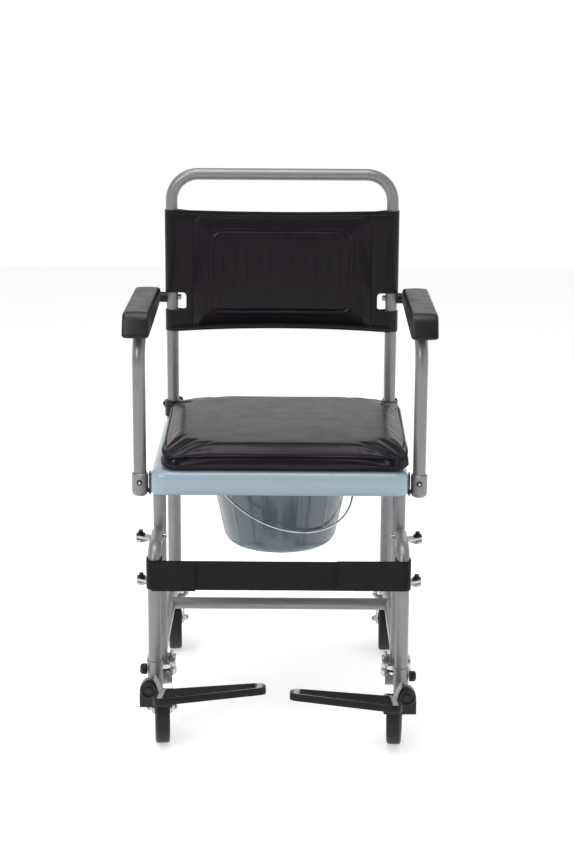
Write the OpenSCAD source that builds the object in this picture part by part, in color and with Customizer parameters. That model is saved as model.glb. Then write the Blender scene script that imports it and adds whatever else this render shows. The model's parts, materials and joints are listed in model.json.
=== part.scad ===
// Wheeled commode chair, in millimetres. +Z is up and the sitter faces -Y.
// The origin is on the floor under the middle of the chair's width and length.
// Left and right are as seen from the front: right is +X and left is -X.

/* [Side frames] */
// Half the distance between the two side frames
side_x = 208; // [205:1:212]
// Half the distance between front legs and rear posts
leg_y = 203; // [200:1:206]
// Outer diameter of the frame tubes
tube_d = 22.2; // [21:0.1:22.2]
// Wall thickness of the frame tubes
tube_wall = 1.5; // [1.2:0.1:2]
// Outer diameter of the rear posts, which hold the back tube
post_d = 25.4; // [25.4:0.1:26]
// Height of the top of the rear posts
post_top = 514; // [508:1:516]
// Height of the seat rails' centre line
rail_z = 465; // [464:1:466]
// Height of the lower rails' centre line
lower_rail_z = 160; // [156:1:166]
// Distance of the lower crossbar behind the middle of the side frames
crossbar_y = 43; // [20:1:80]

/* [Casters] */
// Wheel diameter
wheel_d = 125; // [122:1:125]
// Tread width
wheel_w = 26; // [24:1:28]
// Distance from swivel axis to wheel axle
trail = 32.5; // [30:0.5:34]
// Angle by which each front caster is turned inwards
front_turn = 5; // [0:1:15]
// Angle by which the left rear caster is turned outwards
left_rear_turn = 4; // [0:1:8]
// Angle by which the right rear caster is turned outwards
right_rear_turn = 2; // [0:1:8]

/* [Seat] */
// Width of the seat board
seat_w = 445; // [444:1:446]
// Front edge of the seat board, measured forwards of the side frames' middle
seat_front = 232; // [226:1:236]
// Rear edge of the seat board, measured behind the side frames' middle
seat_rear = 186; // [180:1:188]
// Height of the seat board's upper face
seat_top = 493; // [492:1:496]
// Depth of the seat board's skirt
seat_skirt = 42; // [38:1:44]
// Width of the opening in the seat board
hole_w = 210; // [200:1:220]
// Length of the opening in the seat board
hole_l = 260; // [240:1:270]
// Width of the cushion
cushion_w = 430; // [420:1:432]
// Sideways shift of the loose cushion
cushion_shift = 9; // [0:1:9]
// Height of the middle of the cushion above the seat board
cushion_h = 37; // [30:1:40]

/* [Backrest] */
// Height of the centre line of the back tube's top
back_top = 952; // [930:1:960]
// Centre line radius of the bends of the back tube and the arms
bend_r = 50; // [40:1:55]
// Lower edge of the back sling
sling_low = 655; // [645:1:665]
// Upper edge of the back sling
sling_high = 885; // [875:1:890]

/* [Arms] */
// Distance of the arm tubes from the middle
arm_x = 243; // [242:0.5:244]
// Height of the arm pivots
arm_z = 718; // [710:1:722]
// Distance of the arms' upright parts in front of the side frames' middle
arm_front = 184; // [180:1:188]
// Width of the arm pads
pad_w = 47; // [44:1:48]

/* [Footrests] */
// Distance of the hanger tubes from the middle
hanger_x = 210.5; // [209:0.5:212]
// Distance of the hanger tubes' upright parts in front of the side frames' middle
hanger_front = 318; // [316:1:322]
// Height of the centre line of the hanger tubes' top part
hanger_z = 378; // [374:1:380]
// Height of the left footplate's hub
left_hub_z = 137; // [127:1:140]
// Height of the right footplate's hub
right_hub_z = 127; // [125:1:140]
// Angle by which the footplates' front edge is raised
toe_up = 11; // [6:1:14]
// Angle by which the footplates' inner end is raised
inner_up = 4.4; // [0:0.2:6]

/* [Pan] */
// Outer diameter of the pan's rim
rim_d = 279; // [276:1:280]
// Height of the rim's upper face
rim_z = 446; // [444:1:447]
// Depth of the pan
pan_h = 146; // [130:1:150]
// Direction of the bail's pivots from the sideways axis
bail_turn = 38; // [30:1:45]
// Angle at which the bail hangs away from the vertical
bail_hang = 51; // [50:1:56]

/* [Hidden] */
$fn = 48;

// The model is moved back by this much, which puts the middle of its length on the origin
middle_y = 67.5;
slack = 0.3;
weld_gap = 0.05;
running = 0.07;
tube_r = tube_d / 2;
bore_r = tube_r - tube_wall;
post_r = post_d / 2;
back_x = side_x;

// Colours
steel = [0.56, 0.56, 0.58];
zinc = [0.78, 0.78, 0.76];
black = [0.07, 0.06, 0.06];
vinyl = [0.10, 0.09, 0.10];
seat_blue = [0.62, 0.70, 0.75];
pan_grey = [0.42, 0.48, 0.52];
plate_grey = [0.67, 0.67, 0.67];

// Feet and casters
plate_z = 139;
plate_t = 4;
plate_side = 50;
leg_foot = plate_z + plate_t;
bolt_r = 3;
bolt_out = 18.6;
housing_z = 130;
crown_z = 126;
wheel_r = wheel_d / 2;
leg_gap = wheel_w / 2 + 2;
fork_t = 3;
axle_r = 4;
stem_r = 6;
brake_y = 15;
brake_z = 117;
brake_t = 2;
brake_pin_r = 3;
brake_half_w = leg_gap + fork_t + slack + brake_t;

// Hanger hinge
pin_x = 240;
pin_y = -222;
pin_r = 4;
lug_z = [371.5, 293.5];
lug_t = 5;
bar_x = 216;
bar_y = -236;
hanger_r = 30;
hanger_end = 130;
strap_z = [313, 364];
strap_t = 2.1;
strap_joint_x = 125;

// Footplates
hub_x = 220;
hub_r = 15.6;
height_knob_z = 29;
sleeve_r = 12.7;
sleeve_h = 72;
hub_below_top = 35;
plate_back = 335;
plate_inner_x = 22;
plate_outer_x = 204;
plate_deep = 100;
plate_shallow = 60;
foot_t = 9.5;
mat_t = 2;
bumper_t = 2.5;
bumper_lip = 1.5;
bumper_back = 26;

// Seat
seat_wall = 3;
seat_deck = 4.5;
front_tube_y = -188;
knob_z = post_top - 14;
rear_tube_y = 166;

// Arms
end_low = 437;
end_high = 478;
end_r = 14.3;
peg_z = 446;
peg_r = 4;
button_z = 463;
button_r = 5;

// Pan
pan_r = 118;
ear_z = rim_z - 9.5;
bail_r = 146;
wire_r = 1.9;

module placed() translate([0, middle_y, 0]) children();
module on_side(s) mirror([s < 0 ? 1 : 0, 0, 0]) children();
module both() for (s = [-1, 1]) on_side(s) children();

// A hollow tube standing on the origin
module tube(h, r = tube_r, inner = bore_r) difference() {
  cylinder(r = r, h = h);
  translate([0, 0, -1]) cylinder(r = inner, h = h + 2);
}

// A quarter bend in the XY plane, from +X to +Y around the origin
module bend(radius, r = tube_r, inner = bore_r) rotate_extrude(angle = 90)
  translate([radius, 0]) difference() {
    circle(r = r);
    circle(r = inner);
  }

// The same bend from an upright tube in front to a level one behind
module front_bend(radius, r = tube_r, inner = bore_r) rotate([90, 0, -90]) bend(radius, r, inner);

module rounded(w, l, r) hull() for (x = [-1, 1], y = [-1, 1])
  translate([x * (w / 2 - r), y * (l / 2 - r)]) circle(r = r);

// A cylinder along +X or +Y from its given start
module along_x(r, h, fn = $fn) rotate([0, 90, 0]) cylinder(r = r, h = h, $fn = fn);
module along_y(r, h, fn = $fn) rotate([-90, 0, 0]) cylinder(r = r, h = h, $fn = fn);

// ---- Root frame ----
// Front leg, seat rail, rear post and lower rail of the right side, coped where they are welded
module side_frame() {
  difference() {
    translate([side_x, -leg_y, leg_foot]) tube(rail_z - leg_foot);
    translate([side_x, -300, rail_z]) along_y(tube_r + weld_gap, 600);
  }
  translate([side_x, -leg_y - tube_r, rail_z]) rotate([-90, 0, 0]) difference() {
    tube(2 * leg_y);
    translate([0, -100, 2 * leg_y + tube_r]) rotate([-90, 0, 0]) cylinder(r = post_r + weld_gap, h = 200);
  }
  difference() {
    translate([side_x, leg_y, leg_foot]) tube(post_top - leg_foot, post_r, tube_r + running);
    translate([side_x, leg_y + 5, knob_z]) along_y(bolt_r + running, 20);
  }
  difference() {
    translate([side_x, -leg_y, lower_rail_z]) rotate([-90, 0, 0]) tube(2 * leg_y);
    translate([side_x, -leg_y, 0]) cylinder(r = tube_r + weld_gap, h = 600);
    translate([side_x, leg_y, 0]) cylinder(r = post_r + weld_gap, h = 600);
  }
}
module left_side_frame() color(steel) placed() on_side(-1) side_frame();
module right_side_frame() color(steel) placed() side_frame();

module cross_tube(y, z) difference() {
  translate([-side_x, y, z]) rotate([0, 90, 0]) tube(2 * side_x);
  both() translate([side_x, y - 50, z]) along_y(tube_r + weld_gap, 100);
}
module cross_tubes() color(steel) placed() {
  cross_tube(front_tube_y, rail_z);
  cross_tube(rear_tube_y, rail_z);
  cross_tube(crossbar_y, lower_rail_z);
}

module at_feet() for (x = [-side_x, side_x], y = [-leg_y, leg_y]) translate([x, y, 0]) children();
module bolt_holes(r) for (x = [-bolt_out, bolt_out]) translate([x, 0, 0]) cylinder(r = r, h = 600);

module foot_plates() color(zinc) placed() at_feet() difference() {
  translate([0, 0, plate_z]) linear_extrude(plate_t) rounded(plate_side, plate_side, 10);
  bolt_holes(bolt_r + 0.05);
}
module foot_plate_bolts() color(zinc) placed() at_feet() for (x = [-bolt_out, bolt_out])
  translate([x, 0, plate_z - 5]) {
    cylinder(r = 4.2, h = 3);
    cylinder(r = bolt_r, h = 23);
    translate([0, 0, 5 + plate_t + 0.05]) cylinder(r = 5.7, h = 4.8, $fn = 6);
  }
module caster_housings() color(zinc) placed() at_feet() difference() {
  rotate_extrude() polygon([
    [stem_r + running, housing_z], [stem_r + 3, housing_z], [stem_r + 3, plate_z - 2],
    [23, plate_z - 2], [23, housing_z + 4], [24.5, housing_z], [26, housing_z + 1],
    [25, plate_z], [stem_r + running, plate_z]
  ]);
  bolt_holes(bolt_r + 0.05);
}

// The board's outline, shrunk by a margin
module seat_outline(margin, r) translate([0, (seat_rear - seat_front) / 2])
  rounded(seat_w - 2 * margin, seat_front + seat_rear - 2 * margin, r);
module oval(w, l) hull() for (y = [-1, 1]) translate([0, y * (l - w) / 2]) circle(d = w);
module seat_board() color(seat_blue) placed() difference() {
  union() {
    difference() {
      hull() {
        translate([0, 0, seat_top - seat_skirt]) linear_extrude(seat_skirt - 12) seat_outline(0, 26);
        translate([0, 0, seat_top - 4]) linear_extrude(1) seat_outline(3.5, 24);
        translate([0, 0, seat_top - 1]) linear_extrude(1) seat_outline(10, 20);
      }
      translate([0, 0, seat_top - seat_skirt - 1]) linear_extrude(seat_skirt - 12)
        seat_outline(seat_wall, 23);
      translate([0, 0, seat_top - 14]) linear_extrude(14 - seat_deck) seat_outline(seat_wall + 4, 20);
    }
    translate([0, 0, seat_top - 22]) linear_extrude(20) oval(hole_w + 6, hole_l + 6);
  }
  translate([0, 0, seat_top - 60]) linear_extrude(80) oval(hole_w, hole_l);
  both() for (y = [16.5 - seat_front, seat_rear - 27])
    translate([side_x - 11.5, y, rail_z - 30]) cube([23, 37, 42]);
}

module seat_clips() color(black) placed() for (s = [-1, 1], y = [-130, 110])
  translate([s * side_x, y, 0]) difference() {
    translate([-7, -14, rail_z - 4]) cube([14, 28, seat_top - seat_deck - slack - rail_z + 4]);
    translate([0, -20, rail_z]) along_y(tube_r + 0.05, 40);
  }

// Right rail: a ledge that carries the rim, a web, and a flange under the cross tubes
module pan_rail() difference() {
  translate([0, rear_tube_y + 14, 0]) rotate([90, 0, 0])
    linear_extrude(rear_tube_y - front_tube_y + 28) polygon([
      [130, rim_z - 6.5], [146, rim_z - 6.5], [146, rail_z - tube_r - 2], [162, rail_z - tube_r - 2],
      [162, rail_z - tube_r - 0.1], [144, rail_z - tube_r - 0.1], [144, rim_z - 4.3], [130, rim_z - 4.3]
    ]);
  translate([100, -250, rim_z - 20]) cube([100, 90, 23]);
}
module pan_rails() color(zinc) placed() both() pan_rail();

// Black bushes on the posts, drilled for the clamping knobs
module post_collars() color(black) placed() both() translate([back_x, leg_y, 0]) difference() {
  translate([0, 0, post_top - 27]) cylinder(r = 16, h = 30);
  cylinder(r = post_r + 0.05, h = post_top);
  cylinder(r = tube_r + running, h = 600);
  translate([0, 8, knob_z]) along_y(bolt_r + running, 20);
}

module at_lugs() for (z = lug_z) translate([0, 0, z]) children();
module hanger_brackets() color(zinc) placed() both() at_lugs() difference() {
  translate([0, 0, -6.5]) linear_extrude(4) hull() {
    translate([pin_x, pin_y]) circle(r = 8);
    translate([side_x + 8, -leg_y]) circle(r = 8);
  }
  translate([side_x, -leg_y, -20]) cylinder(r = tube_r, h = 40);
  translate([pin_x, pin_y, -20]) cylinder(r = pin_r, h = 40);
}
// Pins with a nylon washer under each lug and a retaining cap above it
module hanger_pins() color(black) placed() both() at_lugs() translate([pin_x, pin_y, 0]) {
  translate([0, 0, -8]) cylinder(r = pin_r, h = 21.5);
  translate([0, 0, -2.4]) cylinder(r = 8, h = 2);
  translate([0, 0, lug_t + slack]) cylinder(r = 7.5, h = 3);
}

// Peg under each side rail that an arm's end drops onto, with its upright keeper tab
module arm_peg() {
  translate([side_x - 4, -arm_front, peg_z]) along_x(peg_r, arm_x - 7 - side_x + 4);
  difference() {
    translate([side_x - 4, -arm_front - 7.5, peg_z - 5]) cube([8, 15.5, 15]);
    translate([side_x, -300, rail_z]) along_y(tube_r + weld_gap, 200);
    translate([side_x - 20, front_tube_y, rail_z]) along_x(tube_r + weld_gap, 40);
  }
  translate([224, -arm_front - 8, peg_z - 5]) cube([3, 16, 38]);
}
module arm_pegs() color(black) placed() both() arm_peg();

// ---- Backrest ----
back_foot = 400;
module back_half() {
  difference() {
    translate([back_x, leg_y, back_foot]) tube(back_top - bend_r - back_foot);
    translate([back_x - 30, leg_y, arm_z]) along_x(bolt_r + 0.02, 60);
  }
  translate([back_x - bend_r, leg_y, back_top - bend_r]) rotate([90, 0, 0]) bend(bend_r);
  translate([0, leg_y, back_top]) rotate([0, 90, 0]) tube(back_x - bend_r);
}
module back_tube() color(steel) placed() union() both() back_half();

// Sheet with a sleeve round each leg of the back tube, cut away at the arm pivots
module back_sling() color(vinyl) placed() difference() {
  translate([0, leg_y, sling_low]) union() {
    both() translate([back_x, 0, 0]) cylinder(r = tube_r + 1.7, h = sling_high - sling_low);
    translate([-back_x, -tube_r - 1.7, 0]) cube([2 * back_x, 8.5, sling_high - sling_low]);
  }
  both() translate([back_x, leg_y, 0]) cylinder(r = tube_r + 0.02, h = 1000);
  both() translate([181, 150, arm_z - 23]) cube([60, 100, 34]);
}

module arm_pivot_bolts() color(zinc) placed() both() translate([0, leg_y, arm_z]) {
  translate([190.6, 0, 0]) along_x(bolt_r, arm_x + tube_r + 0.4 - 190.6);
  translate([arm_x + tube_r + slack, 0, 0]) along_x(6.5, 3.6);
  translate([back_x - tube_r - 5.3, 0, 0]) along_x(5.6, 5, 6);
}
module arm_spacers() color(black) placed() both() for (x = [0, 6.2])
  translate([back_x + tube_r + 0.1 + x, leg_y, arm_z]) rotate([0, 90, 0]) tube(5.9, 10, bolt_r + 0.03);

module back_knob() translate([back_x, leg_y, knob_z]) {
  translate([0, 11.7, 0]) along_y(bolt_r, 10);
  translate([0, 16.4, 0]) along_y(8, 6);
  translate([0, 20.5, 0]) rotate([-90, 0, 0]) linear_extrude(14) union() {
    circle(r = 18);
    for (a = [0:60:300]) rotate(a) translate([17, 0]) circle(r = 6);
  }
}
module left_back_knob() color(black) placed() on_side(-1) back_knob();
module right_back_knob() color(black) placed() back_knob();

// ---- Arms ----
module arm_tube() {
  difference() {
    translate([arm_x, bend_r - arm_front, arm_z]) rotate([-90, 0, 0])
      tube(leg_y + 14 + arm_front - bend_r);
    translate([arm_x - 30, leg_y, arm_z]) along_x(bolt_r + running, 60);
  }
  translate([arm_x, bend_r - arm_front, arm_z - bend_r]) front_bend(bend_r);
  translate([arm_x, -arm_front, end_high - 6]) tube(arm_z - bend_r - end_high + 6);
}
// Side view of the pad: thick in front, drooping over the tube's bend, flat on its level part
pad_seat_z = arm_z + tube_r + 0.1;
module pad_profile() difference() {
  hull() {
    translate([82, arm_z + 34]) circle(r = 8);
    translate([82, arm_z + 18]) circle(r = 8);
    translate([-188, arm_z + 29]) circle(r = 15);
    translate([-202, arm_z + 16]) circle(r = 13);
    translate([-192, arm_z + 9]) circle(r = 6);
  }
  translate([bend_r - arm_front, arm_z - bend_r]) circle(r = bend_r + tube_r + 0.1);
  translate([bend_r - arm_front, pad_seat_z - 200]) square([400, 200]);
}
module arm_pad() translate([arm_x + 3 - pad_w / 2, 0, 0]) rotate([90, 0, 90])
  linear_extrude(pad_w) pad_profile();

// Moulded end: a socket for the tube, a button bore, and a notch that drops over the peg
module arm_end() difference() {
  translate([arm_x, -arm_front, 0]) rotate_extrude() polygon([
    [0, end_low], [9, end_low], [13, end_low + 3], [end_r, end_low + 8],
    [end_r, end_high - 2], [end_r - 2, end_high], [0, end_high]
  ]);
  translate([arm_x, -arm_front, end_high - 6]) cylinder(r = tube_r + 0.02, h = 20);
  translate([arm_x, -arm_front - 30, button_z]) along_y(button_r + running, 30);
  translate([arm_x - 20, -arm_front, peg_z]) rotate([90, 0, 90]) linear_extrude(14.5) hull() {
    circle(r = peg_r + 0.7);
    translate([17, -24]) circle(r = peg_r + 0.7);
    translate([0, -30]) circle(r = peg_r + 0.7);
  }
}
module arm_button() translate([arm_x, -arm_front - end_r - 2.5, button_z]) along_y(button_r, 10);

module left_arm_tube() color(steel) placed() on_side(-1) arm_tube();
module right_arm_tube() color(steel) placed() arm_tube();
module left_arm_pad() color(black) placed() on_side(-1) arm_pad();
module right_arm_pad() color(black) placed() arm_pad();
module left_arm_end() color(steel) placed() on_side(-1) arm_end();
module right_arm_end() color(steel) placed() arm_end();
module left_arm_button() color(zinc) placed() on_side(-1) arm_button();
module right_arm_button() color(zinc) placed() arm_button();

// ---- Footrest hangers ----
latch_y = -232;
module hanger_tube() difference() {
  union() {
    translate([hanger_x, hanger_r - hanger_front, hanger_z]) rotate([-90, 0, 0])
      tube(hanger_front - hanger_r - 217);
    translate([hanger_x, hanger_r - hanger_front, hanger_z - hanger_r]) front_bend(hanger_r);
    translate([hanger_x, -hanger_front, hanger_end]) tube(hanger_z - hanger_r - hanger_end);
  }
  translate([hanger_x - 30, latch_y, hanger_z]) along_x(4.5 + running, 30);
}
// Two lugs on the hinge pins, joined by an upright bar under the tube
module hanger_hinge() difference() {
  union() {
    at_lugs() linear_extrude(lug_t) hull() {
      translate([pin_x, pin_y]) circle(r = 8.5);
      translate([bar_x, bar_y]) circle(r = 8.5);
    }
    translate([bar_x, bar_y, lug_z[1] - 3]) cylinder(r = 6, h = lug_z[0] - lug_z[1] + 6);
  }
  translate([pin_x, pin_y, 0]) cylinder(r = pin_r + running, h = 600);
  translate([hanger_x, -400, hanger_z]) along_y(tube_r, 300);
}
module hanger_latch() translate([hanger_x - tube_r - 5, latch_y, hanger_z]) along_x(4.5, 9);

// Webbing loop round the hanger tube with a flat band across the front
module calf_strap(reach) translate([0, 0, strap_z[0]]) linear_extrude(strap_z[1] - strap_z[0]) {
  difference() {
    hull() for (y = [0, 9.5]) translate([hanger_x, y - hanger_front]) circle(r = tube_r + slack + strap_t);
    hull() for (y = [0, 9.5]) translate([hanger_x, y - hanger_front]) circle(r = tube_r + slack);
  }
  translate([hanger_x - reach, -hanger_front - tube_r - slack - strap_t]) square([reach, strap_t]);
}

// Sleeve that slides on the hanger tube, with a heel block and the footplate's pivot pin.
// Heights are measured from the hub.
module foot_sleeve() difference() {
  union() {
    translate([hanger_x, -hanger_front, hub_below_top - sleeve_h + 10])
      cylinder(r = sleeve_r, h = sleeve_h);
    translate([181, -332, -36]) cube([56, 24, 26]);
    translate([hub_x, -332, 0]) along_y(hub_r - 1, 12);
    translate([hub_x, -344, 0]) along_y(5, 14);
  }
  translate([hanger_x, -hanger_front, hub_below_top - sleeve_h + 13])
    cylinder(r = tube_r + running, h = sleeve_h);
  translate([hanger_x + 11, -hanger_front, height_knob_z]) along_x(bolt_r + 0.05, 10);
}
module height_knob() translate([hanger_x, -hanger_front, height_knob_z]) {
  translate([tube_r + slack + 0.1, 0, 0]) along_x(bolt_r, 4);
  translate([sleeve_r + slack, 0, 0]) along_x(8.5, 8);
  translate([sleeve_r + slack + 8, 0, 0]) along_x(6.5, 5);
}

// Plan view of a plate, wide at its outer end, in its own plane. r rounds the corners.
module plate_outline(m, r) offset(r = r) offset(delta = -r - m) polygon([
  [plate_inner_x, 0], [plate_outer_x, 0], [plate_outer_x, -plate_deep], [plate_inner_x, -plate_shallow]
]);
// Tilts a plate's own plane into place under the hub
module tilted() translate([plate_outer_x - 30, -plate_back, 1]) rotate([0, inner_up, 0])
  rotate([-toe_up, 0, 0]) translate([30 - plate_outer_x, 0, 0]) children();
module footplate() difference() {
  union() {
    tilted() translate([0, 0, -foot_t]) linear_extrude(foot_t) plate_outline(0, 12);
    translate([hub_x, -344.5, 0]) along_y(hub_r, 12);
    translate([180, -344.5, -hub_r]) cube([hub_x - 180, 9, 12]);
  }
  translate([hub_x, -360, 0]) along_y(5 + running, 30);
}
// Bumper round the front of a plate, from its lower face to the mat's upper face
module foot_bumper() difference() {
  translate([0, 0, -foot_t - bumper_lip]) linear_extrude(foot_t + bumper_lip + mat_t)
    plate_outline(-bumper_t, 14);
  translate([0, 0, -foot_t - 5]) linear_extrude(foot_t + 15) plate_outline(-weld_gap, 12);
  translate([0, -bumper_back, -50]) cube([400, 100, 100]);
}
// Mat on the plate, its bumper, and the cap over the hub
module foot_mat() {
  difference() {
    tilted() {
      translate([0, 0, weld_gap]) linear_extrude(mat_t) plate_outline(5, 10);
      foot_bumper();
    }
    translate([hub_x, -360, 0]) along_y(hub_r + 0.5, 40);
  }
  translate([hub_x, -347.5, 0]) along_y(hub_r - 0.5, 2.8);
}

module at_hub(s) translate([0, 0, s < 0 ? left_hub_z : right_hub_z]) on_side(s) children();
module left_hanger_tube() color(steel) placed() on_side(-1) hanger_tube();
module right_hanger_tube() color(steel) placed() hanger_tube();
module left_hanger_hinge() color(zinc) placed() on_side(-1) hanger_hinge();
module right_hanger_hinge() color(zinc) placed() hanger_hinge();
module left_hanger_latch() color(zinc) placed() on_side(-1) hanger_latch();
module right_hanger_latch() color(zinc) placed() hanger_latch();
module left_calf_strap() color(black) placed() on_side(-1)
  calf_strap(hanger_x + strap_joint_x - slack);
module right_calf_strap() color(black) placed() calf_strap(hanger_x - strap_joint_x - slack);
module left_foot_sleeve() color(steel) placed() at_hub(-1) foot_sleeve();
module right_foot_sleeve() color(steel) placed() at_hub(1) foot_sleeve();
module left_height_knob() color(black) placed() at_hub(-1) height_knob();
module right_height_knob() color(black) placed() at_hub(1) height_knob();
module left_footplate() color(plate_grey) placed() at_hub(-1) footplate();
module right_footplate() color(plate_grey) placed() at_hub(1) footplate();
module left_foot_mat() color(black) placed() at_hub(-1) foot_mat();
module right_foot_mat() color(black) placed() at_hub(1) foot_mat();

// ---- Casters. Each is drawn trailing along +Y from a swivel axis on the origin ----
module fork_leg() rotate([90, 0, 90]) linear_extrude(fork_t) hull() {
  translate([trail, wheel_r]) circle(r = 11);
  translate([-14, crown_z]) square([36, 3.7]);
}
// Curved cover over the wheel's top, reaching the given angle past the axle
module fork_hood(reach) translate([0, trail, wheel_r]) rotate([0, 90, 0]) rotate(180 - reach)
  rotate_extrude(angle = reach + 12) translate([wheel_r + 1.8, -leg_gap - 1])
    square([2, 2 * leg_gap + 2]);
module fork(hood_reach, brake_stubs = false) {
  if (brake_stubs) both() translate([leg_gap + 1, brake_y, brake_z])
    along_x(brake_pin_r, fork_t - 1 + brake_t + 2 * slack);
  difference() {
    union() {
      translate([0, 0, crown_z]) cylinder(r = 22, h = 3.7);
      translate([0, 0, crown_z]) cylinder(r = stem_r, h = plate_z - crown_z - 1);
      both() translate([leg_gap, 0, 0]) fork_leg();
      fork_hood(hood_reach);
    }
    both() translate([leg_gap - 5, trail, wheel_r]) along_x(axle_r, 20);
  }
  translate([-leg_gap - fork_t - 4, trail, wheel_r]) along_x(axle_r, 2 * (leg_gap + fork_t + 4));
  both() translate([leg_gap + fork_t + 0.05, trail, wheel_r]) difference() {
    along_x(6.6, 4.5, 6);
    translate([-1, 0, 0]) along_x(axle_r, 10);
  }
}
module wheel_axis() translate([0, trail, wheel_r]) rotate([0, 90, 0]) children();
module wheel_core() wheel_axis() rotate_extrude() polygon([
  [axle_r + running, 1 - leg_gap], [12, 1 - leg_gap], [13, -6], [40, -4], [42, -10.5], [47, -10.5],
  [47, 10.5], [42, 10.5], [40, 4], [13, 6], [12, leg_gap - 1], [axle_r + running, leg_gap - 1]
]);
module tyre() wheel_axis() rotate_extrude() difference() {
  hull() for (y = [-1, 1]) {
    translate([wheel_r - 9, y * (wheel_w / 2 - 9)]) circle(r = 9);
    translate([47.05, y * 6]) square([1, 12], center = true);
  }
  translate([0, -50]) square([47.05, 100]);
}
// Pedal behind the wheel's top, with two cheeks that turn on stubs outside the rear forks
module brake() {
  both() translate([leg_gap + fork_t + slack, 0, 0]) rotate([90, 0, 90])
    linear_extrude(brake_t) difference() {
      hull() {
        translate([brake_y, brake_z]) circle(r = 6);
        translate([74, 122]) circle(r = 4);
      }
      translate([brake_y, brake_z]) circle(r = brake_pin_r + running);
    }
  translate([-brake_half_w, 70, 121]) cube([2 * brake_half_w, 24, 4]);
}
module caster_at(x, y, turn) placed() translate([x, y, 0]) rotate(turn) children();
module front_left() caster_at(-side_x, -leg_y, 180 + front_turn) children();
module front_right() caster_at(side_x, -leg_y, 180 - front_turn) children();
module rear_left() caster_at(-side_x, leg_y, left_rear_turn) children();
module rear_right() caster_at(side_x, leg_y, -right_rear_turn) children();

module front_left_fork() color(zinc) front_left() fork(45);
module front_right_fork() color(zinc) front_right() fork(45);
module rear_left_fork() color(zinc) rear_left() fork(22, true);
module rear_right_fork() color(zinc) rear_right() fork(22, true);
module front_left_wheel_core() color(black) front_left() wheel_core();
module front_right_wheel_core() color(black) front_right() wheel_core();
module rear_left_wheel_core() color(black) rear_left() wheel_core();
module rear_right_wheel_core() color(black) rear_right() wheel_core();
module front_left_tyre() color(black) front_left() tyre();
module front_right_tyre() color(black) front_right() tyre();
module rear_left_tyre() color(black) rear_left() tyre();
module rear_right_tyre() color(black) rear_right() tyre();
module rear_left_brake() color(zinc) rear_left() brake();
module rear_right_brake() color(zinc) rear_right() brake();

// ---- Loose parts ----
// Cushion outline: small corners in front, large ones behind
module cushion_outline(m) hull() {
  for (x = [-1, 1]) translate([x * (cushion_w / 2 - 35), -187]) circle(r = 35 - m);
  for (x = [-1, 1]) translate([x * (cushion_w / 2 - 72), 127]) circle(r = 72 - m);
}
module cushion() color(vinyl) placed() translate([cushion_shift, 0, seat_top + 0.5]) hull() {
  linear_extrude(1) cushion_outline(4);
  translate([0, 0, 4]) linear_extrude(cushion_h - 14) cushion_outline(0);
  translate([0, 0, cushion_h - 5]) linear_extrude(1) cushion_outline(14);
  translate([0, 0, cushion_h - 1.5]) linear_extrude(1) cushion_outline(34);
}

floor_z = rim_z - pan_h;
module pan() color(pan_grey) placed() difference() {
  union() {
    rotate_extrude() polygon([
      [0, floor_z], [80, floor_z], [94, floor_z + 4], [102, floor_z + 13], [106.6, floor_z + 31],
      [pan_r, floor_z + 87], [129, rim_z - 4], [rim_d / 2, rim_z - 4], [rim_d / 2, rim_z],
      [127, rim_z], [pan_r - 2.6, floor_z + 87], [104, floor_z + 31], [99.6, floor_z + 14.5],
      [92.6, floor_z + 6.6], [79, floor_z + 3], [0, floor_z + 3]
    ]);
    rotate(bail_turn) both() translate([127.5, 0, ear_z]) along_x(5.4, 13);
  }
  rotate(bail_turn) both() translate([132, 0, ear_z]) along_x(wire_r + 0.08, 20);
}
module bail() color(zinc) placed() translate([0, 0, ear_z]) rotate(bail_turn)
  rotate([270 - bail_hang, 0, 0]) union() {
    rotate_extrude(angle = 180) translate([bail_r, 0]) circle(r = wire_r);
    both() translate([134, 0, 0]) along_x(wire_r, bail_r - 134 + wire_r);
  }

left_side_frame();
right_side_frame();
cross_tubes();
foot_plates();
foot_plate_bolts();
caster_housings();
seat_board();
seat_clips();
pan_rails();
post_collars();
hanger_brackets();
hanger_pins();
arm_pegs();
back_tube();
back_sling();
arm_pivot_bolts();
arm_spacers();
left_back_knob();
right_back_knob();
left_arm_tube();
right_arm_tube();
left_arm_pad();
right_arm_pad();
left_arm_end();
right_arm_end();
left_arm_button();
right_arm_button();
left_hanger_tube();
right_hanger_tube();
left_hanger_hinge();
right_hanger_hinge();
left_hanger_latch();
right_hanger_latch();
left_calf_strap();
right_calf_strap();
left_foot_sleeve();
right_foot_sleeve();
left_height_knob();
right_height_knob();
left_footplate();
right_footplate();
left_foot_mat();
right_foot_mat();
front_left_fork();
front_left_wheel_core();
front_left_tyre();
front_right_fork();
front_right_wheel_core();
front_right_tyre();
rear_left_fork();
rear_left_wheel_core();
rear_left_tyre();
rear_right_fork();
rear_right_wheel_core();
rear_right_tyre();
rear_left_brake();
rear_right_brake();
cushion();
pan();
bail();
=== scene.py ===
"""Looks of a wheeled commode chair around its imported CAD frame. Metres, +Z up, -Y is forwards."""

import json
import math
from contextlib import contextmanager

import bmesh
import bpy
import numpy as np
from mathutils import Matrix, Vector, noise


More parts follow.
